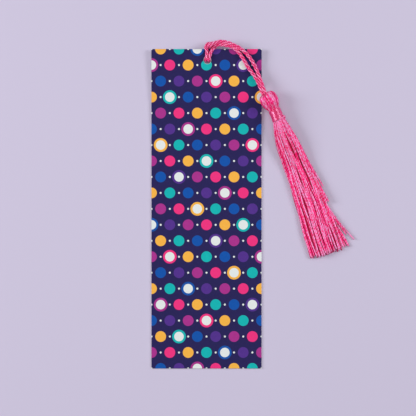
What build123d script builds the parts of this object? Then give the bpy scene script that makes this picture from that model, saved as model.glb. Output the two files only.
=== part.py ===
from build123d import *
import os
from math import asin, cos, pi, radians, sin, sqrt, tan

# A card bookmark with a tassel, lying on a table, in millimetres.
# The origin is on the card's back, at the card's middle. +Y runs to the punched end and +Z is up.

# Card
CARD_WIDTH = 50.0
CARD_LENGTH = 145.0
CARD_THICKNESS = 0.4
BEND_LENGTH = 55.0  # the punched end, which the cord under it bends up
HOLE_INSET = 5.0  # from the top edge to the hole's centre
HOLE_OFFSET = 0.4  # from the card's middle to the hole's centre

# Loop cord
CORD_DIAMETER = 1.55
CORD_GAP = 0.06  # between the cord and what it is tied round
EDGE_GAP = 0.15  # between the cord and the card's top edge
HOLE_PLAY = 0.3  # left in the hole by two cords side by side
LIFT_PLAY = 0.35  # left under the card by one cord
LOOP_LEAN = 1.2  # how far the hitch leans to the right of the hole
LEG_LENGTH = 2.6  # how far the loop's two legs run side by side from the hole
EXIT_PAST = 1.8  # from the hitch's right side to where the strands leave it
EXIT_RISE = 1.9  # from the top edge to the lower strand there
STRAND_PLAY = 0.14  # between the two strands, beyond the cord's own gap

# The free strands' routes. Each point has its place from where the strands leave the hitch, or from
# the card's top right corner, and its height clear of the card's front.
LEFT_FROM_EXIT = [(5.9, 0.0, 1.0), (9.3, -3.8, 0.35)]
LEFT_FROM_CORNER = [(-6.4, -8.6, 0.2), (-3.4, -13.0, 0.5)]
LEFT_LEAD = 2.6  # straight run out of the hitch
LEFT_TAIL = 3.0  # straight run into the head
RIGHT_FROM_EXIT = [(6.1, 2.1, 1.2), (10.3, -0.7, 0.6)]
RIGHT_FROM_CORNER = [(-4.5, -4.7, 0.25), (-1.8, -10.2, 0.5)]
RIGHT_LEAD = 2.5
RIGHT_TAIL = 3.2

# Tassel, lying to the right of the card
HEAD_DIAMETER = 8.5
HEAD_DOWN = 23.5  # from the card's top edge to the head's centre
HEAD_CLEARANCE = 0.68  # between the head and the card's edge under it
HEAD_FULLNESS = 40.0  # degrees past its widest place that the head stays round
HEAD_TAPER = 4.6  # from the head's centre to the neck
HEAD_TURN = 28.2  # degrees that the head leans away from the card
HEAD_GAP = 0.2  # between the strands' ends and the head
MOUTH_PLAY = 0.15  # round the two cords that go into the head
KNOT_GRIP = 0.22  # how far the knot inside reaches past the head's mouth
NECK_DIAMETER = 4.6
NECK_LENGTH = 5.0
BINDING_DIAMETER = 0.45
BINDING_TURNS = 5
BINDING_GAP = 0.03
BINDING_START = 0.2  # from the neck's top to the first turn's middle
BINDING_END = 0.45  # from the last turn's middle to the neck's end
BINDING_KNOT_DIAMETER = 1.1
BINDING_KNOT_UP = 1.0  # from the neck's end to the middle of the binding's knot
BINDING_KNOT_GAP = 0.08

# Skirt
SKIRT_LENGTH = 65.0
SKIRT_WIDTH = 20.6  # at its cut end
SKIRT_TURN = 21.9  # degrees that the skirt leans away from the card
SKIRT_BOW = 0.8  # how far it curves to the left of a straight line
BOW_LENGTH = 48.0  # from the neck to where it crosses that line again
SKIRT_GAP = 0.15  # between the skirt's root and the neck
LOCK_COUNT = 12
LOCK_GAP = 0.04
LOCK_COLUMNS = 2  # columns of threads in a lock
LAYERS = 3.4  # threads above each other at the thickest place, rounded where they are counted
ROOT_START = 1.5  # where the locks begin to spread below the neck
ROOT_LENGTH = 9.5  # how far they stay gathered
SETTLE_LENGTH = 20.5  # how much further it takes them to come down to the table
FLARE_POWER = 0.62  # under 1, so that the skirt spreads soonest near the neck
THREAD_WIDTH = 0.62
THREAD_GAP = 0.04
THREAD_FILL = 0.9  # of the room that each thread has between its neighbours
THREAD_SEAT = 0.6  # how deep a thread starts inside its lock's root
TABLE_GAP = 0.03
UNEVEN_ENDS = 1.2
SHORT_LENGTHS = [43.0, 36.0]  # the top threads of the lock on the right, from its left

# What follows from those sizes
cord_radius = CORD_DIAMETER / 2
hole_diameter = 2 * CORD_DIAMETER + HOLE_PLAY
card_lift = CORD_DIAMETER + LIFT_PLAY
top_edge = CARD_LENGTH / 2
bend_start = top_edge - BEND_LENGTH
bend_radius = (BEND_LENGTH**2 + card_lift**2) / (2 * card_lift)
bend_angle = asin(BEND_LENGTH / bend_radius)
head_radius = HEAD_DIAMETER / 2
neck_radius = NECK_DIAMETER / 2
neck_end = HEAD_TAPER + NECK_LENGTH


def card_front(y):
    """The height of the card's front face at y, carried on level past the top edge."""
    past_start = min(max(y - bend_start, 0), BEND_LENGTH)
    return bend_radius - sqrt(bend_radius**2 - past_start**2) + CARD_THICKNESS


# The frame of the card's top edge at the hole: x along the edge, y on up the card, z out of its front
edge_radius = bend_radius - CARD_THICKNESS / 2
edge_middle = (
    HOLE_OFFSET,
    bend_start + edge_radius * sin(bend_angle),
    bend_radius - edge_radius * cos(bend_angle),
)
edge_frame = Plane(edge_middle, x_dir=(1, 0, 0), z_dir=(0, -sin(bend_angle), cos(bend_angle)))

# The hitch in that frame: how far the cord's middle lies from the card and from itself
beside = cord_radius + CORD_GAP / 2
above = CARD_THICKNESS / 2 + cord_radius + CORD_GAP
over_edge = cord_radius + EDGE_GAP
wrap = CORD_DIAMETER + CORD_GAP
spread = wrap + STRAND_PLAY
loop_half = beside + wrap
loop_top = over_edge + wrap
over_loop = above + wrap
exit_out = LOOP_LEAN + loop_half + cord_radius + EXIT_PAST
exit_upper = EXIT_RISE + spread

# The frames of the head and of the skirt: x to the right, y up, z along towards the cut ends
head_turn = radians(HEAD_TURN)
head_axis = Vector(sin(head_turn), -cos(head_turn), 0)
head_y = top_edge - HEAD_DOWN
edge_drop = head_radius - card_front(head_y) - HEAD_CLEARANCE
head_out = sqrt(head_radius**2 - edge_drop**2)
head_middle = Vector(CARD_WIDTH / 2 + head_out, head_y, head_radius)
head_frame = Plane(head_middle, x_dir=(cos(head_turn), sin(head_turn), 0), z_dir=head_axis)
skirt_turn = radians(SKIRT_TURN)
skirt_frame = Plane(
    head_middle + head_axis * neck_end,
    x_dir=(cos(skirt_turn), sin(skirt_turn), 0),
    z_dir=(sin(skirt_turn), -cos(skirt_turn), 0),
)


def widest_fillet(before, corner, after):
    """The largest fillet that the two runs at a corner of a route leave room for."""
    arriving = corner - before
    leaving = after - corner
    half_turn = radians(arriving.get_angle(leaving)) / 2
    return 0.45 * min(arriving.length, leaving.length) / tan(half_turn)


def tube(name, path, diameter):
    """A round tube along a path of straight runs and tangent arcs."""
    section = Plane(path @ 0, z_dir=path % 0) * Circle(diameter / 2)
    solid = sweep(section, path=path)
    share = solid.volume / (pi * diameter**2 / 4 * path.length)
    print(f"{name} is {path.length:.2f} long, with {share:.4f} of its section times its length")
    return solid


def cord(name, points, limits):
    """A length of cord on a route with fillets as wide as its runs allow, or as the limits say by corner."""
    fillets = []
    for index in range(1, len(points) - 1):
        widest = widest_fillet(*points[index - 1 : index + 2])
        fillets.append(min(widest, limits.get(index, widest)))
    print(f"{name} fillets", [round(fillet, 2) for fillet in fillets])
    return tube(name, FilletPolyline(*points, radius=fillets), CORD_DIAMETER)


def make_card():
    """The printed strip, flat at its foot and bent up a little at its punched end."""

    def bent_end(radius):
        return (bend_start + radius * sin(bend_angle), bend_radius - radius * cos(bend_angle))

    foot = -CARD_LENGTH / 2
    back_end = bent_end(bend_radius)
    front_end = bent_end(bend_radius - CARD_THICKNESS)
    outline = [
        Line((foot, 0), (bend_start, 0)),
        TangentArc((bend_start, 0), back_end, tangent=(1, 0)),
        Line(back_end, front_end),
        TangentArc((bend_start, CARD_THICKNESS), front_end, tangent=(1, 0)),
        Line((bend_start, CARD_THICKNESS), (foot, CARD_THICKNESS)),
        Line((foot, CARD_THICKNESS), (foot, 0)),
    ]
    strip = extrude(Plane.YZ * make_face(outline), CARD_WIDTH / 2, both=True)
    hole_place = edge_frame * Pos(0, -HOLE_INSET, 0)
    punch_height = card_lift + CARD_THICKNESS
    return strip - hole_place * Cylinder(hole_diameter / 2, punch_height)


def make_hitch():
    """The lark's head: a loop through the hole, past the top edge and round the two strands."""
    left = LOOP_LEAN - beside
    right = LOOP_LEAN + beside
    hole = -HOLE_INSET
    # The upper strand comes in from the right, climbs over the lower one and goes back through the loop
    upper_strand = [
        (exit_out, exit_upper, over_loop),
        (exit_out - wrap, exit_upper, over_loop),
        (LOOP_LEAN + wrap, loop_top + CORD_GAP, over_loop + wrap),
        (left, over_edge, over_loop + spread),
    ]
    left_turns = [
        (left, over_edge, -above),
        (-beside, hole, -above),
        (-beside, hole, above),
        (-beside, hole + LEG_LENGTH, above),
        (LOOP_LEAN - loop_half, -EDGE_GAP, above),
        (LOOP_LEAN - loop_half, loop_top, above),
    ]
    right_turns = [
        (LOOP_LEAN + loop_half, loop_top, above),
        (LOOP_LEAN + loop_half, -EDGE_GAP, above),
        (beside, hole + LEG_LENGTH, above),
        (beside, hole, above),
        (beside, hole, -above),
        (right, over_edge, -above),
    ]
    lower_strand = [
        (right, over_edge, over_loop),
        (exit_out - wrap, EXIT_RISE, over_loop),
        (exit_out, EXIT_RISE, over_loop),
    ]
    route = upper_strand + left_turns + right_turns + lower_strand
    points = [edge_frame.from_local_coords(point) for point in route]
    edge_turn = above - CORD_GAP
    limits = {4: edge_turn, 15: edge_turn}
    return cord("loop_hitch", points, limits)


def strand(name, side, rise, lead, from_exit, from_corner, tail):
    """A free strand from the hitch over the card's corner to the head's left (-1) or right (1)."""
    leaving = edge_frame.from_local_coords((exit_out, rise, over_loop))
    arriving = head_frame.from_local_coords((side * beside, 0, -head_radius - HEAD_GAP))
    places = [(leaving.X + x, top_edge + y, clear) for x, y, clear in from_exit]
    places += [(CARD_WIDTH / 2 + x, top_edge + y, clear) for x, y, clear in from_corner]
    points = [leaving, leaving + Vector(lead, 0, 0)]
    points += [Vector(x, y, card_front(y) + cord_radius + clear) for x, y, clear in places]
    points += [arriving - head_axis * tail, arriving]
    print(f"{name} points", [tuple(round(value, 2) for value in point) for point in points])
    return cord(name, points, {})


def make_stopper_knot():
    """The cord's two ends, knotted inside the head."""
    knot = Sphere(beside + cord_radius + MOUTH_PLAY + KNOT_GRIP)
    stub_top = sqrt(head_radius**2 - (beside + cord_radius) ** 2)
    for side in (-1, 1):
        knot += Pos(side * beside, 0, -stub_top / 2) * Cylinder(cord_radius, stub_top)
    return head_frame * knot


def make_head():
    """The folded floss: a round head that tapers to the neck, with a rounded end for the skirt to turn on."""
    fullness = radians(HEAD_FULLNESS)
    waist = (head_radius * cos(fullness), head_radius * sin(fullness))
    outline = [
        CenterArc((0, 0), head_radius, -90, 90 + HEAD_FULLNESS),
        TangentArc(waist, (neck_radius, HEAD_TAPER), tangent=(-sin(fullness), cos(fullness))),
        Line((neck_radius, HEAD_TAPER), (neck_radius, neck_end)),
        CenterArc((0, neck_end), neck_radius, 0, 90),
        Line((0, neck_end + neck_radius), (0, -head_radius)),
    ]
    head = revolve(Plane.XZ * make_face(outline), Axis.Z)
    mouth_radius = beside + cord_radius + MOUTH_PLAY
    head -= Sphere(mouth_radius + KNOT_GRIP + MOUTH_PLAY)
    head -= Pos(0, 0, -head_radius / 2) * Cylinder(mouth_radius, head_radius + 2 * MOUTH_PLAY)
    return head_frame * head


def biarc(start, start_way, end, end_way):
    """Two tangent arcs from one point and direction to another."""
    across = end - start
    bend = 2 * (1 - start_way.dot(end_way))
    along = across.dot(start_way + end_way)
    reach = (sqrt(along**2 + bend * across.dot(across)) - along) / bend
    middle = (start + end + (start_way - end_way) * reach) * 0.5
    middle_way = (end - end_way * reach - start - start_way * reach).normalized()
    return [TangentArc(start, middle, tangent=start_way), TangentArc(middle, end, tangent=middle_way)]


def make_binding():
    """The thread wound round the neck, with short straight ends."""
    radius = neck_radius + BINDING_GAP + BINDING_DIAMETER / 2
    pitch = (NECK_LENGTH - BINDING_START - BINDING_END) / BINDING_TURNS

    def place(turns):
        angle = 2 * pi * turns
        height = HEAD_TAPER + BINDING_START + pitch * turns
        point = Vector(radius * cos(angle), radius * sin(angle), height)
        way = Vector(-radius * sin(angle), radius * cos(angle), pitch / (2 * pi)).normalized()
        return point, way

    quarters = [place(step / 4) for step in range(4 * BINDING_TURNS + 1)]
    start, start_way = quarters[0]
    end, end_way = quarters[-1]
    edges = [Line(start - start_way * BINDING_DIAMETER, start)]
    for here, following in zip(quarters, quarters[1:]):
        edges += biarc(*here, *following)
    edges.append(Line(end, end + end_way * BINDING_DIAMETER))
    samples = 40
    points = [place(step / samples)[0] for step in range(samples * BINDING_TURNS + 1)]
    pairs = [(near, far) for i, near in enumerate(points) for far in points[i + samples // 2 :]]
    least = min((far - near).length for near, far in pairs) - BINDING_DIAMETER
    print(f"neck_binding least gap to itself {least:.3f}")
    return head_frame * tube("neck_binding", Wire(edges), BINDING_DIAMETER)


def make_binding_knot():
    """The small knot that ends the binding, on the neck's right."""
    knot_radius = BINDING_KNOT_DIAMETER / 2
    out = neck_radius + BINDING_GAP + BINDING_DIAMETER + BINDING_KNOT_GAP + knot_radius
    return head_frame * Pos(out, 0, neck_end - BINDING_KNOT_UP) * Sphere(knot_radius)


def skirt_half_width(along):
    """Half the skirt's width that far from the neck."""
    share = max(along - ROOT_START, 0) / (SKIRT_LENGTH - ROOT_START)
    return neck_radius + (SKIRT_WIDTH / 2 - neck_radius) * share**FLARE_POWER


def bow(along):
    """How far to the right of its straight line the skirt lies there."""
    return -SKIRT_BOW * sin(pi * along / BOW_LENGTH)


def settled(along):
    """How far the skirt has come down to the table there, from 0 to 1."""
    share = (along - ROOT_START) / (ROOT_LENGTH + SETTLE_LENGTH - ROOT_START)
    share = min(max(share, 0), 1)
    return share * share * (3 - 2 * share)


def half_height(share):
    """Half the height of the round root at a share of its half width."""
    return neck_radius * sqrt(1 - share**2)


def lock_root(left, right):
    """The gathered root of one lock, between two shares of the skirt's half width."""
    sections = []
    for along in (0, ROOT_START, (ROOT_START + ROOT_LENGTH) / 2, ROOT_LENGTH):
        half_width = skirt_half_width(along)
        drop = settled(along) * (head_radius - neck_radius)
        left_x = bow(along) + left * half_width + LOCK_GAP / 2
        right_x = bow(along) + right * half_width - LOCK_GAP / 2
        corners = [
            Vector(left_x, -half_height(left) - drop, along),
            Vector(right_x, -half_height(right) - drop, along),
            Vector(right_x, half_height(right) - drop, along),
            Vector(left_x, half_height(left) - drop, along),
        ]
        sections.append(Wire.make_polygon(corners))
    return Solid.make_loft(sections, ruled=True) - Sphere(neck_radius + SKIRT_GAP)


def thread(share, layer, layers, length):
    """One square thread of a lock, from inside the lock's root to its own cut end."""
    drop = settled(ROOT_LENGTH) * (head_radius - neck_radius)
    gathered = half_height(share) * ((2 * layer + 1) / layers - 1) - drop
    on_table = TABLE_GAP + THREAD_WIDTH / 2 + layer * (THREAD_WIDTH + THREAD_GAP) - head_radius
    sections = []
    stations = [ROOT_LENGTH + SETTLE_LENGTH * part for part in (0.2, 0.55, 1)]
    for along in [ROOT_LENGTH - THREAD_SEAT] + [place for place in stations if place < length] + [length]:
        half_width = skirt_half_width(along)
        room = half_width / LOCK_COUNT * 2 / LOCK_COLUMNS
        half = min(THREAD_WIDTH, THREAD_FILL * room) / 2
        lowered = (settled(along) - settled(ROOT_LENGTH)) / (1 - settled(ROOT_LENGTH))
        height = gathered + (on_table - gathered) * max(lowered, 0)
        middle = bow(along) + share * half_width
        corners = [
            Vector(middle - half, height - half, along),
            Vector(middle + half, height - half, along),
            Vector(middle + half, height + half, along),
            Vector(middle - half, height + half, along),
        ]
        sections.append(Wire.make_polygon(corners))
    return Solid.make_loft(sections, ruled=True)


def make_lock(number):
    """One lock of the skirt: a gathered root and its columns of threads."""
    outermost = 0.97  # share of the half width that the outer locks reach, short of the round root's rim
    left = outermost * (2 * number / LOCK_COUNT - 1)
    right = outermost * (2 * (number + 1) / LOCK_COUNT - 1)
    threads = []
    for column in range(LOCK_COLUMNS):
        share = left + (right - left) * (column + 0.5) / LOCK_COLUMNS
        layers = max(2, round(LAYERS * sqrt(1 - share**2)))
        for layer in range(layers):
            wave = 2.4 * (LOCK_COLUMNS * number + column) + 1.7 * layer
            length = SKIRT_LENGTH + UNEVEN_ENDS * sin(wave)
            if number == LOCK_COUNT - 1 and layer == layers - 1 and column < len(SHORT_LENGTHS):
                length = SHORT_LENGTHS[column]
            threads.append(thread(share, layer, layers, length))
    return skirt_frame * lock_root(left, right).fuse(*threads)


nodes = {
    "card": make_card(),
    "loop_hitch": make_hitch(),
    "loop_strand_left": strand(
        "loop_strand_left", -1, EXIT_RISE, LEFT_LEAD, LEFT_FROM_EXIT, LEFT_FROM_CORNER, LEFT_TAIL
    ),
    "loop_strand_right": strand(
        "loop_strand_right", 1, exit_upper, RIGHT_LEAD, RIGHT_FROM_EXIT, RIGHT_FROM_CORNER, RIGHT_TAIL
    ),
    "stopper_knot": make_stopper_knot(),
    "head_floss": make_head(),
    "neck_binding": make_binding(),
    "binding_knot": make_binding_knot(),
}
for number in range(LOCK_COUNT):
    nodes[f"skirt_lock_{number + 1:02d}"] = make_lock(number)

os.makedirs("parts", exist_ok=True)
for name, shape in nodes.items():
    export_step(shape, f"parts/{name}.step")

flip_place = edge_frame.from_local_coords((exit_out, EXIT_RISE + spread / 2, over_loop))
for name, place in {"flip": flip_place, "head": head_middle, "skirt": skirt_frame.origin}.items():
    print(f"{name} pivot", tuple(round(value, 3) for value in place))
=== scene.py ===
import random
from bisect import bisect_right
from math import asin, cos, pi, radians, sin, sqrt

import bmesh
import bpy
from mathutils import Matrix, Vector


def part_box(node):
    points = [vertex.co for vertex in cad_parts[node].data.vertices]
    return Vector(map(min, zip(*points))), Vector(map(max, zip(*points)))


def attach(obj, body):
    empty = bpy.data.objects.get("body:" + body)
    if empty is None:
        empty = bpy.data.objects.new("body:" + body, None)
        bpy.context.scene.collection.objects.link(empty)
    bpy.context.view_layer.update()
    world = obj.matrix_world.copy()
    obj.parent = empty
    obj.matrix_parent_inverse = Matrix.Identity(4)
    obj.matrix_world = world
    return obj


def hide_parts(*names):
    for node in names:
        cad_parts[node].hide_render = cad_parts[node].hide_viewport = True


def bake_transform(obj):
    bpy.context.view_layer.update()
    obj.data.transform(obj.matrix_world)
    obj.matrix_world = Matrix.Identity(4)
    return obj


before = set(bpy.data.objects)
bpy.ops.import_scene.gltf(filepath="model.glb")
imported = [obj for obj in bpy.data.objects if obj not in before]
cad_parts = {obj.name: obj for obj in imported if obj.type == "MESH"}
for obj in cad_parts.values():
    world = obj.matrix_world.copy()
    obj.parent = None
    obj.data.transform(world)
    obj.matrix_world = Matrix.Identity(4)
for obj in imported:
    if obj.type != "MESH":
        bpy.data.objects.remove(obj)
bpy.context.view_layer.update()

# A card bookmark with a tassel. Lengths are in millimetres until a point goes into a mesh.
MM = 0.001
UP = Vector((0, 0, 1))

# Card
CARD_LENGTH = 145.0
CARD_WIDTH = 50.0
CARD_THICKNESS = 0.4
BEND_LENGTH = 55.0
CARD_LIFT = 1.9
HOLE_X = 0.4
HOLE_INSET = 5.0
HOLE_RADIUS = 1.7
HOLE_RIM = 0.12

# Print on the card
DOT_COLUMNS = 6
DOT_PITCH = CARD_WIDTH / DOT_COLUMNS
ROW_PITCH = 7.25
DOT_RADIUS = 2.45
RING_RADIUS = 3.1
CENTRE_RADIUS = 2.15
PIN_RADIUS = 0.45
PRINT_BLUR = 0.05
RING_EVERY = 5
RING_FIRST = 3
RING_COLUMN_STEP = 2.0
INK_ROW_STEP = 2.0
NUMBER_MARGIN = 0.4

# Lines and threads. A thread is paler at its start and its cut end, and its lay starts anywhere in a span.
CURVE_STEPS = 14
THREAD_SIDES = 8
MIDDLE_TINT = 0.5
PALE_START = 0.1
PALE_END = 0.5
START_SPAN = 3.0

# Cord
CORD_STEP = 0.16
PLIES = 3
PLY_SIDES = 10
PLY_RADIUS = 0.42
PLY_OFFSET = 0.46
PLY_TINT = 0.35
PLY_TINT_STEP = 0.15
PLY_START_STEP = 0.7
LAY_LENGTH = 6.9
TIGHT_SHARE = 0.91
EASE_LENGTH = 4.0
# The hitch, in the frame of the card's top edge
HITCH = [
    (6.19, 3.4, 2.95), (5.2, 3.38, 3.0), (4.1, 3.15, 3.45), (2.8, 2.65, 4.15), (1.5, 1.85, 4.42),
    (0.7, 1.2, 3.9), (0.55, 1.0, 2.2), (0.55, 1.0, 0.6), (0.5, 1.06, -0.6), (0.4, 0.65, -1.1),
    (0.15, -0.6, -1.1), (-0.3, -2.6, -1.06), (-0.6, -4.1, -1.06), (-0.64, -5.0, -1.05), (-0.64, -5.25, 0.0),
    (-0.6, -4.95, 1.05), (-0.5, -3.8, 1.06), (-0.3, -2.7, 1.05), (-0.15, -1.4, 1.05), (-0.4, -0.1, 1.06),
    (-0.8, 0.8, 1.06), (-0.5, 1.75, 1.07), (0.4, 2.4, 1.07), (1.6, 2.7, 1.07), (2.8, 2.55, 1.07),
    (3.6, 1.95, 1.06), (3.75, 1.1, 1.05), (3.1, 0.4, 1.05), (2.15, -0.25, 1.05), (1.7, -1.2, 1.05),
    (1.3, -2.5, 1.06), (0.9, -3.6, 1.06), (0.76, -4.95, 1.05), (0.72, -5.25, 0.0), (0.72, -5.0, -1.05),
    (0.86, -4.1, -1.06), (1.3, -2.6, -1.06), (1.85, -0.6, -1.1), (2.0, 0.65, -1.1), (2.05, 1.06, -0.6),
    (2.05, 1.0, 0.6), (2.1, 0.98, 1.9), (2.5, 1.1, 2.55), (3.3, 1.5, 2.72), (4.5, 1.9, 2.66),
    (5.3, 1.97, 2.62), (6.19, 1.97, 2.6),
]
# The free strands, from the hitch's ends into the head's mouth
LEFT_STRAND = [
    (9.3, 74.15, 4.8), (12.9, 72.8, 4.0), (16.0, 69.2, 3.2), (18.7, 64.2, 2.8),
    (21.9, 60.2, 2.85), (23.75, 56.6, 3.6), (25.0, 53.2, 4.0), (26.2, 50.9, 4.1),
]
RIGHT_STRAND = [
    (9.3, 75.4, 5.25), (13.1, 73.95, 4.5), (16.9, 71.7, 3.75), (20.5, 67.6, 3.05),
    (23.1, 62.3, 2.95), (24.95, 56.8, 4.3), (26.15, 53.4, 4.55), (27.2, 51.3, 4.35),
]

# Head
HEAD_RADIUS = 4.25
HEAD_MIDDLE = Vector((28.402, 49.0, HEAD_RADIUS))
HEAD_TURN = radians(28.2)
HEAD_TAPER = 4.6
# Its outline from inside its mouth to under the neck's winding: out from the axis, and along it
HEAD_OUTLINE = [
    (1.2, -1.7), (1.3, -2.6), (1.8, -3.5), (3.1, -3.3), (4.0, -2.3), (4.25, -1.0), (4.2, 0.6),
    (3.85, 1.9), (3.25, 3.1), (2.7, 4.1), (2.35, 4.9), (2.25, 6.2),
]
HEAD_STEP = 0.4
HEAD_THREADS = 34
HEAD_OVERLAP = 1.03
HEAD_JITTER = 0.1
HEAD_DRIFT = 0.05
HEAD_SINK = 0.3
HEAD_TINTS = (0.2, 1.0)
MOUTH_TILT = 0.1
CORE_SIDES = 36
CORE_INSET = 0.45

# Neck
NECK_RADIUS = 2.3
NECK_LENGTH = 5.0
NECK_LEAN = 0.6
WINDING_RADIUS = 0.23
WINDING_PITCH = 0.24
WINDING_TURNS = 19.6
WINDING_STEPS = 40
WINDING_START = 0.15
WINDING_GAP = 0.02
RIPPLE_HEIGHT = 0.008
RIPPLE_RATE = 0.27

# The knot that ends the winding
KNOT_SIZE = 0.17
KNOT_DEPTH = 1.6
KNOT_STEPS = 90
KNOT_THREAD = 0.19
# Painted light: the knot and the thread over the winding's rim have a paler tint, to stand in for light on
# them
KNOT_PAINTED_LIGHT_TINT = 0.95
KNOT_DROP = 0.8
KNOT_INSET = 0.9
KNOT_LIFT = 0.9
# Its two cut tails: how far each leans aside, and how high it starts
KNOT_TAILS = [(-0.3, 0.2), (0.25, -0.1)]
TAIL_LENGTH = 0.8
TAIL_STEPS = 8
TAIL_CURL = 0.12
TAIL_DROP = 0.3
NECK_RIM_TURN = radians(85)
NECK_RIM_STEPS = 16

# Skirt
SKIRT_TURN = radians(21.9)
SKIRT_LENGTH = 64.6
SKIRT_STEPS = 64
SKIRT_TINTS = (0.28, 0.88)
PALE_START_POINTS = 12
PALE_END_POINTS = 3
THREAD_RADIUS = 0.34
ROOT_THICKNESS = 0.54
FULL_THICKNESS_AT = 16.0
# Its left and right edges at distances from the neck
EDGES = [
    (-2.0, -2.6, 2.2), (0.0, -3.25, 2.7), (4.0, -4.6, 3.3), (8.0, -5.5, 4.0), (12.0, -6.0, 4.7),
    (16.0, -6.3, 5.1), (22.0, -6.8, 5.4), (30.0, -7.3, 5.8), (38.0, -7.9, 5.9), (45.0, -8.4, 5.8),
    (52.0, -9.2, 5.4), (60.0, -9.8, 4.9), (70.0, -10.5, 4.5),
]
# Its locks, of a few columns and layers of threads, with uneven cut ends on a slant
LOCK_COUNT = 12
LOCK_COLUMNS = 2
LAYERS = 4.0
LEAST_LAYERS = 2
SHARE_JITTER = 0.22
END_SLANT = 0.6
END_SPREAD = (-0.9, 0.7)
# The threads' heights: round at the root, and settled in layers on the table
ROOT = -0.8
ROOT_HEIGHT = 2.4
LEAST_ROOT = 0.1
OUTWARD_GAIN = 1.5
TABLE_GAP = 0.15
LAYER_HEIGHT = 0.5
LAYER_SPREAD = (-0.03, 0.2)
SETTLE_START = 1.0
SETTLE_LENGTH = 15.0
SETTLE_RISE = 6.0
SETTLE_SPREAD = 2.0
# Slow sways: the reach, and the shortest and longest wave
LOCK_SWAY = (0.4, 45, 80)
THREAD_WANDER = (0.25, 22, 48)
THREAD_RISE = (0.12, 18, 40)
LEAST_SWAY = 0.4
SWAY_EASE = 25.0
# Places where the threads part: how far across, from and to along, and how wide
PARTINGS = [
    (0.19, 6.5, 22.0, 1.0), (-0.34, 33.5, 48.5, 0.9), (-0.83, 39.0, 62.0, 0.7), (0.52, 23.0, 39.0, 0.6),
    (0.75, 50.0, 68.0, 0.6), (0.1, 45.0, 67.0, 0.6), (-0.12, 22.0, 35.0, 0.5),
]
PARTING_REACH = 0.9
# Threads at the right edge that end early or stand away: where each leaves it, and where it ends, along
# the skirt and across it. The short ones lie over the rest.
EDGE_THREADS = [
    (22.0, 35.6, 7.1), (25.0, 42.9, 6.9), (25.0, 42.4, 6.5), (28.0, 43.2, 6.1), (39.0, 63.2, 11.3),
    (38.0, 59.8, 8.9), (39.0, 65.2, 8.0), (38.0, 64.6, 6.4), (35.0, 64.8, 7.35), (37.0, 64.9, 5.8),
    (36.0, 64.2, 5.2),
]
EDGE_COLUMNS = 3
EDGE_INSET = 0.1
EDGE_LAYERS = 2
EDGE_HEIGHT = 0.7
SHORT_THREAD = 50.0
STRAY_BEND = 1.25
# The floss inside it
CORE_WIDTH = 0.8
CORE_END = 58
CORE_TAPER = 38
CORE_STEP = 2
CORE_SETTLE = 24.0
CORE_MIDDLE = 0.95
CORE_ROOT_HEIGHT = 1.75
CORE_HEIGHT = 0.5
CORE_TIP = 0.2

SEED = 19
head_random = random.Random(SEED)
skirt_random = random.Random(SEED)


# Frames

class Place:
    """A frame with an origin and two directions, which turns its own points into the row's."""

    def __init__(self, origin, x_dir, z_dir):
        self.origin = Vector(origin)
        self.x = Vector(x_dir).normalized()
        self.z = Vector(z_dir).normalized()
        self.y = self.z.cross(self.x)

    def point(self, x, y, z):
        return self.origin + self.x * x + self.y * y + self.z * z


# The card's top edge: x along it, y up the card, z out of its front
bend_radius = (BEND_LENGTH**2 + CARD_LIFT**2) / (2 * CARD_LIFT)
bend_angle = asin(BEND_LENGTH / bend_radius)
bend_start = CARD_LENGTH / 2 - BEND_LENGTH
middle_radius = bend_radius - CARD_THICKNESS / 2
edge = Place(
    (HOLE_X, bend_start + middle_radius * sin(bend_angle), bend_radius - middle_radius * cos(bend_angle)),
    (1, 0, 0),
    (0, -sin(bend_angle), cos(bend_angle)),
)

# The head, and the skirt from its neck: x to the right, y up from the table, z along
head_axis = Vector((sin(HEAD_TURN), -cos(HEAD_TURN), 0))
head = Place(HEAD_MIDDLE, (cos(HEAD_TURN), sin(HEAD_TURN), 0), head_axis)
skirt = Place(
    HEAD_MIDDLE + head_axis * (HEAD_TAPER + NECK_LENGTH),
    (cos(SKIRT_TURN), sin(SKIRT_TURN), 0),
    (sin(SKIRT_TURN), -cos(SKIRT_TURN), 0),
)


# Mesh helpers

def smooth(value):
    """0 below 0, 1 above 1, and an even ease between."""
    value = min(max(value, 0), 1)
    return value * value * (3 - 2 * value)


def read_route(name, points):
    """The points of a smooth NURBS line with a route's points as its control points, in millimetres."""
    curve = bpy.data.curves.new(name, "CURVE")
    curve.dimensions = "3D"
    curve.resolution_u = CURVE_STEPS
    spline = curve.splines.new("NURBS")
    spline.points.add(len(points) - 1)
    for control, point in zip(spline.points, points):
        control.co = (*point, 1)
    spline.order_u = 3
    spline.use_endpoint_u = True
    holder = bpy.data.objects.new(name, curve)
    bpy.context.collection.objects.link(holder)
    line = bpy.data.meshes.new_from_object(holder)
    read = [vertex.co.copy() for vertex in line.vertices]
    bpy.data.objects.remove(holder)
    bpy.data.curves.remove(curve)
    bpy.data.meshes.remove(line)
    return read


def even_points(points, step):
    """Points at an even step along a line."""
    lengths = [0.0]
    for before, after in zip(points, points[1:]):
        lengths.append(lengths[-1] + (after - before).length)
    count = max(2, round(lengths[-1] / step))
    spaced = []
    place = 0
    for index in range(count + 1):
        wanted = lengths[-1] * index / count
        while place < len(points) - 2 and lengths[place + 1] < wanted:
            place += 1
        span = lengths[place + 1] - lengths[place]
        share = 0 if span == 0 else (wanted - lengths[place]) / span
        spaced.append(points[place].lerp(points[place + 1], min(max(share, 0), 1)))
    return spaced


def line_length(points):
    return sum((after - before).length for before, after in zip(points, points[1:]))


def line_frames(points, across=None):
    """Directions across a line that turn no more than the line does: (along, across, up) at each point."""
    frames = []
    for index in range(len(points)):
        along = points[min(index + 1, len(points) - 1)] - points[max(index - 1, 0)]
        along.normalize()
        if across is None:
            across = along.orthogonal()
        across = (across - along * across.dot(along)).normalized()
        frames.append((along, across, along.cross(across)))
    return frames


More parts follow.
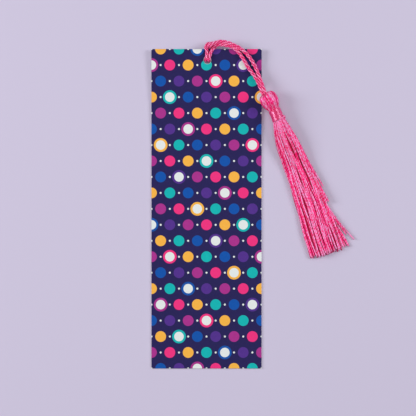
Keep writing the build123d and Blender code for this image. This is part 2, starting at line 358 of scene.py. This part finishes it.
class Threads:
    """A mesh of many round threads, with each one's length and turn in a UV map, its own tint, and how deep
    each point of it lies among the others, which the materials paint as shade."""

    def __init__(self):
        self.vertices = []
        self.faces = []
        self.uvs = []
        self.tints = []
        self.shade_depths = []

    def add(
        self,
        points,
        radii,
        outward,
        sides=THREAD_SIDES,
        tint=MIDDLE_TINT,
        start=0.0,
        pale_start=0,
        pale_end=0,
    ):
        """One thread along points. Its first points, pale_start of them, are paler to the start, and its
        last, pale_end of them, to the cut end."""
        first = len(self.vertices)
        run = start
        runs = []
        for index, ((along, across, up), point) in enumerate(zip(line_frames(points), points)):
            if index:
                run += (point - points[index - 1]).length
            runs.append(run)
            paler = PALE_END * smooth((index + pale_end - len(points)) / max(pale_end, 1))
            paler += PALE_START * smooth((pale_start - index) / max(pale_start, 1))
            for side in range(sides):
                turn = 2 * pi * side / sides
                direction = across * cos(turn) + up * sin(turn)
                self.vertices.append(point + direction * radii[index])
                self.tints.append(tint + paler)
                # Painted shade: the side of a thread that faces away from outward is marked deeper, and the
                # materials paint it darker
                self.shade_depths.append(0.5 - 0.5 * direction.dot(outward[index]))
        for index in range(len(points) - 1):
            for side in range(sides):
                following = (side + 1) % sides
                low = first + index * sides
                high = low + sides
                self.faces.append((low + side, low + following, high + following, high + side))
                near, far = side / sides, (side + 1) / sides
                before, after = runs[index], runs[index + 1]
                self.uvs.append(((before, near), (before, far), (after, far), (after, near)))
        last = first + (len(points) - 1) * sides
        self.faces.append(tuple(first + side for side in reversed(range(sides))))
        self.uvs.append(tuple((start, side / sides) for side in reversed(range(sides))))
        self.faces.append(tuple(last + side for side in range(sides)))
        self.uvs.append(tuple((run, side / sides) for side in range(sides)))

    def make(self, name, material):
        mesh = bpy.data.meshes.new(name)
        mesh.from_pydata([vertex * MM for vertex in self.vertices], [], self.faces)
        lay = mesh.uv_layers.new(name="lay")
        lay.data.foreach_set("uv", [value for face in self.uvs for pair in face for value in pair])
        for key, values in (("tint", self.tints), ("shade_depth", self.shade_depths)):
            mesh.attributes.new(key, "FLOAT", "POINT").data.foreach_set("value", values)
        mesh.update()
        return smooth_piece(name, mesh, material)


def smooth_piece(name, mesh, material):
    """An object with a smooth-shaded mesh."""
    mesh.polygons.foreach_set("use_smooth", [True] * len(mesh.polygons))
    piece = bpy.data.objects.new(name, mesh)
    bpy.context.collection.objects.link(piece)
    piece.data.materials.append(material)
    return piece


# Materials

class Nodes:
    """Short names for the nodes of one material."""

    # A Mix node's sockets for colours: its share, its two colours and its result
    MIX_SHARE, MIX_FIRST, MIX_SECOND, MIX_RESULT = 0, 6, 7, 2

    def __init__(self, name):
        self.material = bpy.data.materials.new(name)
        self.material.use_nodes = True
        self.tree = self.material.node_tree
        self.shader = self.tree.nodes["Principled BSDF"]

    def new(self, kind, **settings):
        node = self.tree.nodes.new(kind)
        for key, value in settings.items():
            setattr(node, key, value)
        return node

    def link(self, out, into):
        self.tree.links.new(out, into)

    def fill(self, socket, value):
        if isinstance(value, bpy.types.NodeSocket):
            self.link(value, socket)
        else:
            socket.default_value = value

    def math(self, operation, first, second=0.0, third=0.0):
        node = self.new("ShaderNodeMath", operation=operation)
        for socket, value in zip(node.inputs, (first, second, third)):
            self.fill(socket, value)
        return node.outputs[0]

    def mix(self, share, first, second, blend="MIX"):
        node = self.new("ShaderNodeMix", data_type="RGBA", blend_type=blend)
        self.fill(node.inputs[self.MIX_SHARE], share)
        self.fill(node.inputs[self.MIX_FIRST], first)
        self.fill(node.inputs[self.MIX_SECOND], second)
        return node.outputs[self.MIX_RESULT]

    def step(self, value, low, high):
        """0 where value is under low, 1 where it is over high."""
        node = self.new("ShaderNodeMapRange", interpolation_type="SMOOTHSTEP")
        self.fill(node.inputs["Value"], value)
        node.inputs["From Min"].default_value = low
        node.inputs["From Max"].default_value = high
        return node.outputs[0]

    def noise(self, coordinates, scale, detail=2.0):
        node = self.new("ShaderNodeTexNoise")
        self.link(coordinates, node.inputs["Vector"])
        node.inputs["Scale"].default_value = scale
        node.inputs["Detail"].default_value = detail
        return node.outputs["Fac"]

    def split(self, vector):
        node = self.new("ShaderNodeSeparateXYZ")
        self.link(vector, node.inputs[0])
        return node.outputs

    def bump(self, height, distance, strength):
        node = self.new("ShaderNodeBump")
        node.inputs["Strength"].default_value = strength
        node.inputs["Distance"].default_value = distance
        self.link(height, node.inputs["Height"])
        self.link(node.outputs[0], self.shader.inputs["Normal"])

    def set(self, **values):
        for key, value in values.items():
            self.fill(self.shader.inputs[key.replace("_", " ")], value)


def colour(red, green, blue):
    """A colour from its sRGB values out of 255."""
    linear = []
    for value in (red, green, blue):
        value /= 255
        linear.append(value / 12.92 if value <= 0.04045 else ((value + 0.055) / 1.055) ** 2.4)
    return (*linear, 1)


WHITE = (1, 1, 1, 1)

# Ink and paper. Noise scales are per metre.
NAVY = colour(35, 29, 84)
INKS = [
    colour(7, 179, 178),
    colour(4, 80, 168),
    colour(80, 45, 138),
    colour(168, 46, 138),
    colour(240, 48, 126),
    colour(248, 180, 70),
]
WHITE_INK = colour(228, 234, 233)
PAPER = colour(232, 228, 224)
PAPER_SHADE = colour(224, 219, 213)
PAPER_SCALE = 300.0
PAPER_RANGE = (0.3, 0.8)
MOTTLE_SCALE = 900.0
MOTTLE_RANGE = (0.35, 0.75)
MOTTLE_SHARE = 0.10
HOLE_RIM_SCALE = 1500.0
HOLE_RIM_SHARE = 0.7
FRONT_RANGE = (0.6, 0.8)
GRAIN_SCALE = 5200.0
GRAIN_HEIGHT = 0.03
GRAIN_STRENGTH = 0.25
GRAIN_ROUGHNESS = 0.12
CARD_ROUGHNESS = 0.5
CARD_SPECULAR = 0.22


def card_material():
    """Satin card, printed on its front with staggered dots in six inks, some of them rings, and with pin
    dots between. Its back and its cut edges are bare paper."""
    nodes = Nodes("printed_card")
    place = nodes.new("ShaderNodeTexCoord").outputs["Object"]
    across, along, _ = nodes.split(place)
    y = nodes.math("MULTIPLY_ADD", along, 1 / (ROW_PITCH * MM), 0.5)
    row = nodes.math("FLOOR", y)
    odd = nodes.math("FLOORED_MODULO", row, 2.0)
    x = nodes.math("MULTIPLY_ADD", across, 1 / (DOT_PITCH * MM), nodes.math("MULTIPLY", odd, 0.5))
    column = nodes.math("FLOOR", x)
    from_row = nodes.math("MULTIPLY", nodes.math("SUBTRACT", nodes.math("FRACT", y), 0.5), ROW_PITCH)

    def distance(from_x, from_y):
        squares = nodes.math("MULTIPLY_ADD", from_x, from_x, nodes.math("MULTIPLY", from_y, from_y))
        return nodes.math("SQRT", squares)

    def from_centre(offset):
        share = nodes.math("FRACT", nodes.math("ADD", x, offset))
        return distance(nodes.math("MULTIPLY", nodes.math("SUBTRACT", share, 0.5), DOT_PITCH), from_row)

    def disc(from_middle, radius):
        inside = nodes.math("SUBTRACT", radius, from_middle)
        return nodes.step(inside, -PRINT_BLUR, PRINT_BLUR)

    from_dot = from_centre(0.0)
    ring_count = nodes.math("MULTIPLY_ADD", column, RING_COLUMN_STEP, row)
    ring_number = nodes.math("FLOORED_MODULO", ring_count, RING_EVERY)
    ringed = nodes.math("COMPARE", ring_number, RING_FIRST, NUMBER_MARGIN)
    ink_count = nodes.math("MULTIPLY_ADD", row, INK_ROW_STEP, column)
    ink_number = nodes.math("FLOORED_MODULO", ink_count, len(INKS))
    ramp = nodes.new("ShaderNodeValToRGB")
    ramp.color_ramp.interpolation = "CONSTANT"
    stops = ramp.color_ramp.elements
    stops.remove(stops[-1])
    for index, ink in enumerate(INKS):
        place_on_ramp = index / len(INKS)
        stop = stops.new(place_on_ramp) if index else stops[0]
        stop.position = place_on_ramp
        stop.color = ink
    nodes.link(nodes.math("MULTIPLY_ADD", ink_number, 1 / len(INKS), 0.5 / len(INKS)), ramp.inputs[0])
    radius = nodes.math("MULTIPLY_ADD", ringed, RING_RADIUS - DOT_RADIUS, DOT_RADIUS)
    printed = nodes.mix(disc(from_dot, radius), NAVY, ramp.outputs[0])
    ring_centre = nodes.math("MULTIPLY", ringed, disc(from_dot, CENTRE_RADIUS))
    printed = nodes.mix(ring_centre, printed, WHITE_INK)
    printed = nodes.mix(disc(from_centre(0.5), PIN_RADIUS), printed, WHITE_INK)

    # Ink lies a little unevenly on the paper's grain, and the punch has bared a thin rim round the hole
    mottle = nodes.step(nodes.noise(place, MOTTLE_SCALE, detail=3.0), *MOTTLE_RANGE)
    printed = nodes.mix(nodes.math("MULTIPLY", mottle, MOTTLE_SHARE), printed, WHITE, "SOFT_LIGHT")
    hole_x = nodes.math("MULTIPLY_ADD", across, 1 / MM, -HOLE_X)
    hole_y = nodes.math("MULTIPLY_ADD", along, 1 / MM, -(CARD_LENGTH / 2 - HOLE_INSET))
    wear = nodes.noise(place, HOLE_RIM_SCALE)
    worn = nodes.math("MULTIPLY_ADD", wear, HOLE_RIM, HOLE_RADIUS + HOLE_RIM / 2)
    rim = disc(distance(hole_x, hole_y), worn)
    printed = nodes.mix(nodes.math("MULTIPLY", rim, HOLE_RIM_SHARE), printed, PAPER)

    facing = nodes.split(nodes.new("ShaderNodeTexCoord").outputs["Normal"])
    front = nodes.step(facing["Z"], *FRONT_RANGE)
    shade = nodes.step(nodes.noise(place, PAPER_SCALE, detail=4.0), *PAPER_RANGE)
    back = nodes.mix(shade, PAPER, PAPER_SHADE)
    nodes.set(Base_Color=nodes.mix(front, back, printed))
    grain = nodes.noise(place, GRAIN_SCALE)
    roughness = nodes.math("MULTIPLY_ADD", grain, GRAIN_ROUGHNESS, CARD_ROUGHNESS)
    nodes.set(Roughness=roughness, Specular_IOR_Level=CARD_SPECULAR)
    nodes.bump(grain, GRAIN_HEIGHT * MM, GRAIN_STRENGTH)
    return nodes.material


# Thread
# Painted shade for the grooves between threads and plies
GROOVE_SHADE = colour(214, 0, 80)
GROOVE_SHADE_SPAN = 0.42
GLOSS = colour(255, 104, 204)
SHEEN = 0.6
SHEEN_ROUGHNESS = 0.4
SHEEN_TINT = colour(255, 36, 150)
THREAD_PLIES = 2
PLY_HEIGHT = 0.04
PLY_STRENGTH = 0.6
FIBRE_SCALE = 6500.0
FIBRE_SHARE = 0.25
PATCH_LENGTH = 1.6
PATCH_SPREAD = 60.0
PATCH_GAIN = 1.9
TINT_GAIN = 0.9
TINT_BASE = 0.05
LIGHT_RANGE = (0.3, 1.08)


def thread_material(
    name, dark, light, twist_length, ply_shading, roughness, groove_shade_start, index, level=0.5, gloss=GLOSS
):
    """Glossy twisted thread: its plies show along its lay with a painted highlight on each ply's crest and
    painted shade in its trough, each thread has its own tint, lighter and darker in patches along it, and
    painted shade darkens the grooves between threads and plies."""
    nodes = Nodes(name)
    length, turn, _ = nodes.split(nodes.new("ShaderNodeUVMap", uv_map="lay").outputs[0])
    lay = nodes.math("MULTIPLY_ADD", length, -1 / twist_length, turn)
    wave = nodes.math("SINE", nodes.math("MULTIPLY", lay, 2 * pi * THREAD_PLIES))
    ridge = nodes.math("MULTIPLY_ADD", wave, 0.5, 0.5)
    tint = nodes.new("ShaderNodeAttribute", attribute_name="tint").outputs["Fac"]
    shade_depth = nodes.new("ShaderNodeAttribute", attribute_name="shade_depth").outputs["Fac"]
    along_thread = nodes.new("ShaderNodeCombineXYZ")
    nodes.link(nodes.math("MULTIPLY", length, 1 / PATCH_LENGTH), along_thread.inputs["X"])
    nodes.link(nodes.math("MULTIPLY", tint, PATCH_SPREAD), along_thread.inputs["Y"])
    patch = nodes.noise(along_thread.outputs[0], scale=1.0)
    # The tint and random patches set how pale a thread is, and ply_shading paints a highlight on each ply's
    # crest and shade in its trough along the lay
    lift = nodes.math("MULTIPLY_ADD", tint, TINT_GAIN, TINT_BASE - PATCH_GAIN / 2)
    lift = nodes.math("MULTIPLY_ADD", patch, PATCH_GAIN, lift)
    lift = nodes.math("MULTIPLY_ADD", ridge, ply_shading, nodes.math("SUBTRACT", lift, ply_shading / 2))
    body = nodes.mix(nodes.step(lift, *LIGHT_RANGE), dark, light)
    # Painted shade: the deeper sides of a thread are darker
    groove_shade = nodes.step(shade_depth, groove_shade_start, groove_shade_start + GROOVE_SHADE_SPAN)
    nodes.set(Base_Color=nodes.mix(groove_shade, body, GROOVE_SHADE))
    nodes.set(Roughness=roughness, IOR=index, Specular_IOR_Level=level, Specular_Tint=gloss)
    nodes.set(Sheen_Weight=SHEEN, Sheen_Roughness=SHEEN_ROUGHNESS, Sheen_Tint=SHEEN_TINT)
    place = nodes.new("ShaderNodeTexCoord").outputs["Object"]
    fibres = nodes.noise(place, FIBRE_SCALE, detail=1.0)
    nodes.bump(nodes.math("MULTIPLY_ADD", fibres, FIBRE_SHARE, ridge), PLY_HEIGHT * MM, PLY_STRENGTH)
    return nodes.material


cord_look = thread_material(
    "twisted_cord",
    dark=colour(255, 6, 114),
    light=colour(255, 200, 240),
    twist_length=1.5,
    ply_shading=0.85,
    roughness=0.32,
    groove_shade_start=0.2,
    index=2.0,
)
floss_look = thread_material(
    "floss",
    dark=colour(255, 2, 100),
    light=colour(255, 178, 228),
    twist_length=2.6,
    ply_shading=0.45,
    roughness=0.32,
    groove_shade_start=0.2,
    index=2.2,
)
head_look = thread_material(
    "head_floss",
    dark=colour(250, 0, 104),
    light=colour(255, 184, 230),
    twist_length=4.0,
    ply_shading=0.3,
    roughness=0.28,
    groove_shade_start=0.16,
    index=2.6,
)
neck_look = thread_material(
    "neck_thread",
    dark=colour(238, 0, 92),
    light=colour(250, 24, 126),
    twist_length=1.2,
    ply_shading=0.15,
    roughness=0.14,
    groove_shade_start=0.3,
    index=2.4,
    level=1.0,
    gloss=colour(255, 196, 240),
)

# Inner floss, darker than the threads: painted shade for the gaps between them
INNER_SHADE_DARK = colour(190, 4, 64)
INNER_SHADE_LIGHT = colour(212, 14, 84)
INNER_SCALE = 900.0
INNER_ROUGHNESS = 0.6
INNER_GRAIN_SCALE = 2500.0
INNER_GRAIN_HEIGHT = 0.1
INNER_GRAIN_STRENGTH = 0.4


def shade_core_material():
    """The floss between the threads that show, in darker colours that paint the shade in the gaps."""
    nodes = Nodes("inner_floss_shade")
    place = nodes.new("ShaderNodeTexCoord").outputs["Object"]
    nodes.set(Base_Color=nodes.mix(nodes.noise(place, INNER_SCALE), INNER_SHADE_DARK, INNER_SHADE_LIGHT))
    nodes.set(Roughness=INNER_ROUGHNESS)
    nodes.bump(nodes.noise(place, INNER_GRAIN_SCALE), INNER_GRAIN_HEIGHT * MM, INNER_GRAIN_STRENGTH)
    return nodes.material


shade_core_look = shade_core_material()


def dress(piece, body, slot, *nodes):
    """Hides the nodes that a piece stands for and ties it to the body that it moves with; slot is not used.
    """
    if nodes:
        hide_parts(*nodes)
    if body:
        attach(piece, body)


# Card and hidden knot, which keep their solids

for node, look in (("card", card_material()), ("stopper_knot", shade_core_look)):
    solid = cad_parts[node]
    solid.data.materials.clear()
    solid.data.materials.append(look)


# Loop cord

def twisted_cord(name, line, across, tight_share=1.0):
    """Plies laid round a line, and where the first of them lies at the line's end. A tight cord is thinner
    except near its ends."""
    points = even_points(line, CORD_STEP)
    frames = line_frames(points, across)
    length = line_length(points)
    threads = Threads()
    for ply in range(PLIES):
        path = []
        outward = []
        radii = []
        run = 0.0
        for index, ((_, right, up), point) in enumerate(zip(frames, points)):
            if index:
                run += (point - points[index - 1]).length
            turn = 2 * pi * (ply / PLIES - run / LAY_LENGTH)
            tightness = smooth(min(run, length - run) / EASE_LENGTH)
            thickness = 1 + (tight_share - 1) * tightness
            outward.append(right * cos(turn) + up * sin(turn))
            path.append(point + outward[-1] * PLY_OFFSET * thickness)
            radii.append(PLY_RADIUS * thickness)
        if ply == 0:
            last = outward[-1]
        tint = PLY_TINT + PLY_TINT_STEP * ply
        threads.add(path, radii, outward, PLY_SIDES, tint, start=PLY_START_STEP * ply)
    return threads.make(name, cord_look), last


hitch_points = [edge.point(*point) for point in HITCH]
hitch, hitch_end = twisted_cord("hitch_cord", read_route("hitch_route", hitch_points), UP, TIGHT_SHARE)
dress(hitch, "card", "cord", "loop_hitch")

# The strands start at the hitch's two ends, and their plies go on from the hitch's
strands = (
    ("left", [hitch_points[-1], *LEFT_STRAND], hitch_end),
    ("right", [hitch_points[0], *RIGHT_STRAND], UP),
)
for side, points, across in strands:
    line = read_route(f"{side}_route", [Vector(point) for point in points])
    strand, _ = twisted_cord(f"strand_{side}", line, across)
    dress(strand, None, "cord", f"loop_strand_{side}")
    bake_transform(strand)


# Head

outline_route = [Vector((out, 0, along)) for out, along in HEAD_OUTLINE]
outline = even_points(read_route("head_outline", outline_route), HEAD_STEP)
head_threads = Threads()
for number in range(HEAD_THREADS):
    turn = 2 * pi * (number + head_random.uniform(-HEAD_JITTER, HEAD_JITTER)) / HEAD_THREADS
    drift = head_random.uniform(-HEAD_DRIFT, HEAD_DRIFT)
    sink = head_random.uniform(0.0, HEAD_SINK)
    tint = head_random.uniform(*HEAD_TINTS)
    start = head_random.uniform(0, START_SPAN)
    path = []
    radii = []
    outward = []
    for index, (out, _, along) in enumerate(outline):
        radius = HEAD_OVERLAP * pi * out / HEAD_THREADS
        angle = turn + drift * sin(pi * index / (len(outline) - 1))
        outward.append(head.x * cos(angle) + head.y * sin(angle))
        tilted = along - MOUTH_TILT * cos(angle) * smooth(-along / HEAD_RADIUS)
        path.append(head.point(0, 0, tilted) + outward[-1] * (out - radius - sink))
        radii.append(radius)
    head_threads.add(path, radii, outward, tint=tint, start=start)
head_piece = head_threads.make("head_threads", head_look)
dress(head_piece, "tassel", "floss", "head_floss")


def closed_form(name, rings):
    """A closed form through rings of points, in the inner floss that paints the shade in the gaps."""
    mesh = bpy.data.meshes.new(name)
    shape = bmesh.new()
    levels = [[shape.verts.new(point * MM) for point in ring] for ring in rings]
    for low, high in zip(levels, levels[1:]):
        for side in range(len(low)):
            after = (side + 1) % len(low)
            shape.faces.new((low[side], low[after], high[after], high[side]))
    shape.faces.new(list(reversed(levels[0])))
    shape.faces.new(levels[-1])
    bmesh.ops.recalc_face_normals(shape, faces=shape.faces)
    shape.to_mesh(mesh)
    shape.free()
    return smooth_piece(name, mesh, shade_core_look)


def oval(place, middle, half_size, along):
    """A ring of points on an oval across a frame's length."""
    turns = [2 * pi * side / CORE_SIDES for side in range(CORE_SIDES)]
    (x, y), (half_x, half_y) = middle, half_size
    return [place.point(x + half_x * cos(turn), y + half_y * sin(turn), along) for turn in turns]


# The floss under the head's outer threads
rings = [oval(head, (0, 0), (out - CORE_INSET, out - CORE_INSET), along) for out, _, along in outline]
dress(closed_form("head_core", rings), "tassel", "floss")


# Neck

winding = []
outward = []
for step in range(round(WINDING_TURNS * WINDING_STEPS) + 1):
    turn = 2 * pi * step / WINDING_STEPS
    out = NECK_RADIUS + WINDING_GAP + WINDING_RADIUS + RIPPLE_HEIGHT * sin(RIPPLE_RATE * turn)
    outward.append(head.x * cos(turn) + head.y * sin(turn))
    wound = WINDING_PITCH * step / WINDING_STEPS
    aside = -NECK_LEAN * (wound / NECK_LENGTH) ** 2
    winding.append(head.point(aside, 0, HEAD_TAPER + WINDING_START + wound) + outward[-1] * out)
neck_threads = Threads()
neck_threads.add(winding, [WINDING_RADIUS] * len(winding), outward)
dress(neck_threads.make("neck_winding", neck_look), "tassel", "binding", "neck_binding")

# The knot that ends the winding: a trefoil with two cut tails
low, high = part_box("binding_knot")
knot_middle = (Vector(low) + Vector(high)) / 2 / MM
knot_middle += head.z * KNOT_DROP - head.x * KNOT_INSET + head.y * KNOT_LIFT
knot_threads = Threads()
trefoil = []
for step in range(KNOT_STEPS + 1):
    turn = 2 * pi * step / KNOT_STEPS
    x = sin(turn) + 2 * sin(2 * turn)
    y = cos(turn) - 2 * cos(2 * turn)
    z = -sin(3 * turn)
    offset = (head.x * x + head.z * y + head.y * z * KNOT_DEPTH) * KNOT_SIZE
    trefoil.append(knot_middle + offset)
knot_threads.add(trefoil, [KNOT_THREAD] * len(trefoil), [head.y] * len(trefoil), tint=KNOT_PAINTED_LIGHT_TINT)
for lean, lift in KNOT_TAILS:
    tail = []
    for step in range(TAIL_STEPS + 1):
        run = TAIL_LENGTH * step / TAIL_STEPS
        side = lean * run + TAIL_CURL * run * run
        tail.append(knot_middle + head.z * run + head.x * side + head.y * (lift - TAIL_DROP * run))
    knot_threads.add(tail, [KNOT_THREAD] * len(tail), [head.y] * len(tail))
# From the knot the thread lies over the winding's lower rim and ends under it
rim = []
outward = []
for step in range(NECK_RIM_STEPS + 1):
    share = step / NECK_RIM_STEPS
    turn = NECK_RIM_TURN * share
    out = NECK_RADIUS + WINDING_RADIUS * (2 - smooth(2 * share - 1))
    outward.append(head.x * cos(turn) + head.y * sin(turn))
    rim.append(head.point(-NECK_LEAN, 0, HEAD_TAPER + NECK_LENGTH) + outward[-1] * out)
knot_threads.add(rim, [KNOT_THREAD] * len(rim), outward, tint=KNOT_PAINTED_LIGHT_TINT)
dress(knot_threads.make("binding_tie", head_look), "tassel", "binding", "binding_knot")


# Skirt

left_edge = read_route("left_edge", [Vector((along, left, 0)) for along, left, _ in EDGES])
right_edge = read_route("right_edge", [Vector((along, right, 0)) for along, _, right in EDGES])


def value_at(line, along):
    """A line's height at a distance along it."""
    after = min(max(bisect_right(line, along, key=lambda point: point.x), 1), len(line) - 1)
    low, high = line[after - 1], line[after]
    return low.y + (high.y - low.y) * (along - low.x) / (high.x - low.x)


def across_at(share, along):
    """Where a thread lies that is at a share of the way from the left edge (-1) to the right edge (1)."""
    left = value_at(left_edge, along) + THREAD_RADIUS
    right = value_at(right_edge, along) - THREAD_RADIUS
    return (left + right) / 2 + (right - left) / 2 * share


def parted(share, along):
    """How far a thread moves aside for the partings near it."""
    moved = 0.0
    for middle, start, end, width in PARTINGS:
        if start < along < end:
            gap = across_at(share, along) - across_at(middle, along)
            side = 1 if gap > 0 else -1
            open_share = sin(pi * (along - start) / (end - start)) ** 2
            moved += side * width / 2 * open_share / (1 + (gap / PARTING_REACH) ** 2)
    return moved


def wave(reach, shortest, longest):
    """A slow random sway along a thread."""
    size = skirt_random.uniform(LEAST_SWAY, 1.0) * reach
    start = skirt_random.uniform(0, 2 * pi)
    length = skirt_random.uniform(shortest, longest)
    return lambda along: size * sin(start + 2 * pi * along / length) * smooth(along / SWAY_EASE)


def add_thread(threads, share, height, layer, length, aside):
    """One thread of the skirt, at its share of the width, its height at the root from the bottom (-1) to
    the top (1), and its layer on the table."""
    wander = wave(*THREAD_WANDER)
    rise = wave(*THREAD_RISE)
    root_height = sqrt(max(1 - share * share, LEAST_ROOT)) * ROOT_HEIGHT * height
    on_table = THREAD_RADIUS + TABLE_GAP + layer * LAYER_HEIGHT + skirt_random.uniform(*LAYER_SPREAD)
    drop = on_table - HEAD_RADIUS - root_height
    settle = SETTLE_LENGTH + SETTLE_RISE * (height + 1) + skirt_random.uniform(-SETTLE_SPREAD, SETTLE_SPREAD)
    path = []
    radii = []
    for step in range(SKIRT_STEPS + 1):
        along = ROOT + (length - ROOT) * step / SKIRT_STEPS
        x = across_at(share, along) + aside(along) + wander(along)
        y = root_height + drop * smooth((along - SETTLE_START) / settle) + rise(along)
        path.append(skirt.point(x, y, along))
        thickness = ROOT_THICKNESS + (1 - ROOT_THICKNESS) * smooth(along / FULL_THICKNESS_AT)
        radii.append(THREAD_RADIUS * thickness)
    # Painted shade: a thread in the upper layers is darker on its underside, and one in the lower layers on
    # its top
    outward = [skirt.y * max(min(OUTWARD_GAIN * height, 1), -1)] * len(path)
    threads.add(
        path,
        radii,
        outward,
        tint=skirt_random.uniform(*SKIRT_TINTS),
        start=skirt_random.uniform(0, START_SPAN),
        pale_start=PALE_START_POINTS,
        pale_end=PALE_END_POINTS,
    )


def skirt_piece(piece, *nodes):
    """Dresses a piece of the skirt, which bends out of the neck."""
    dress(piece, None, "floss", *nodes)
    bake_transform(piece)


# The last lock is the threads at the right edge, and the others share the width
main_locks = LOCK_COUNT - 1
spread = 2 / main_locks
for number in range(LOCK_COUNT):
    threads = Threads()
    if number < main_locks:
        middle = -1 + spread * (number + 0.5)
        sway = wave(*LOCK_SWAY)
        layers = max(LEAST_LAYERS, round(LAYERS * sqrt(1 - middle * middle)))
        for column in range(LOCK_COLUMNS):
            for layer in range(layers):
                column_share = (column + 0.5) / LOCK_COLUMNS - 0.5
                share = middle + spread * (column_share + skirt_random.uniform(-SHARE_JITTER, SHARE_JITTER))
                share = min(max(share, -1), 1)
                height = (2 * layer + 1) / layers - 1
                length = SKIRT_LENGTH + END_SLANT * share + skirt_random.uniform(*END_SPREAD)
                # The lowest layer stays where it is, and shows where those over it part
                parting = min(layer, 1)
                add_thread(
                    threads, share, height, layer, length,
                    lambda along: sway(along) + parting * parted(share, along),
                )
    else:
        for index, (leave, length, end) in enumerate(EDGE_THREADS):
            share = 1.0 - EDGE_INSET * (index % EDGE_COLUMNS)
            offset = end - across_at(share, length)
            layer = index % EDGE_LAYERS + (EDGE_LAYERS if length < SHORT_THREAD else 0)
            add_thread(
                threads, share, EDGE_HEIGHT, layer, length,
                lambda along: offset * max((along - leave) / (length - leave), 0) ** STRAY_BEND,
            )
    skirt_piece(threads.make(f"lock_threads_{number + 1:02d}", floss_look), f"skirt_lock_{number + 1:02d}")

# The floss inside the skirt
rings = []
for along in range(0, CORE_END + 1, CORE_STEP):
    settled = smooth((along - SETTLE_START) / CORE_SETTLE)
    left, right = across_at(-1, along), across_at(1, along)
    middle = ((left + right) / 2, (CORE_MIDDLE - HEAD_RADIUS) * settled)
    taper = 1 - smooth((along - CORE_TAPER) / (CORE_END - CORE_TAPER))
    half_height = CORE_ROOT_HEIGHT + (CORE_HEIGHT - CORE_ROOT_HEIGHT) * settled
    half_height *= CORE_TIP + (1 - CORE_TIP) * taper
    rings.append(oval(skirt, middle, ((right - left) / 2 * CORE_WIDTH, half_height), along))
skirt_piece(closed_form("skirt_core", rings))


# Floor, light and camera, in metres

FLOOR_COLOUR = colour(206, 198, 222)
FLOOR_SIZE = 6
FLOOR_DROP = 0.0002
floor_nodes = Nodes("floor")
floor_nodes.set(Base_Color=FLOOR_COLOUR, Roughness=0.8, Specular_IOR_Level=0.2)
bpy.ops.mesh.primitive_plane_add(size=FLOOR_SIZE, location=(0, 0, -FLOOR_DROP))
floor = bpy.context.object
floor.name = "floor"
floor.data.materials.append(floor_nodes.material)


def area_light(name, place, size, power, mirrored=True):
    """A soft lamp that points at the origin, and shows in glossy surfaces or only lights them."""
    lamp = bpy.data.lights.new(name, "AREA")
    lamp.shape = "RECTANGLE"
    lamp.size, lamp.size_y = size
    lamp.energy = power
    holder = bpy.data.objects.new(name, lamp)
    holder.location = place
    holder.rotation_euler = (-Vector(place)).to_track_quat("-Z", "Y").to_euler()
    holder.visible_glossy = mirrored
    bpy.context.collection.objects.link(holder)


area_light("left_light", place=(-0.85, 0.12, 0.54), size=(0.4, 0.5), power=5.8)
area_light("right_light", place=(0.75, 0.2, 0.6), size=(0.3, 0.4), power=3.5)
area_light("top_light", place=(0.0, 0.1, 1.1), size=(0.6, 0.6), power=2.8, mirrored=False)
WORLD_STRENGTH = 0.25
world = bpy.data.worlds.new("studio")
world.use_nodes = True
background = world.node_tree.nodes["Background"]
background.inputs["Color"].default_value = WHITE
background.inputs["Strength"].default_value = WORLD_STRENGTH
bpy.context.scene.world = world

FRAME_WIDTH = 0.189
CAMERA_X = 0.00068
CAMERA_Y = 0.00039
LENS = 200.0
SENSOR = 36.0
view = bpy.data.cameras.new("camera")
view.lens = LENS
view.sensor_width = SENSOR
camera = bpy.data.objects.new("camera", view)
camera.location = (CAMERA_X, CAMERA_Y, CARD_THICKNESS * MM + FRAME_WIDTH * LENS / SENSOR)
bpy.context.collection.objects.link(camera)
bpy.context.scene.camera = camera
bpy.context.scene.view_settings.view_transform = "Standard"
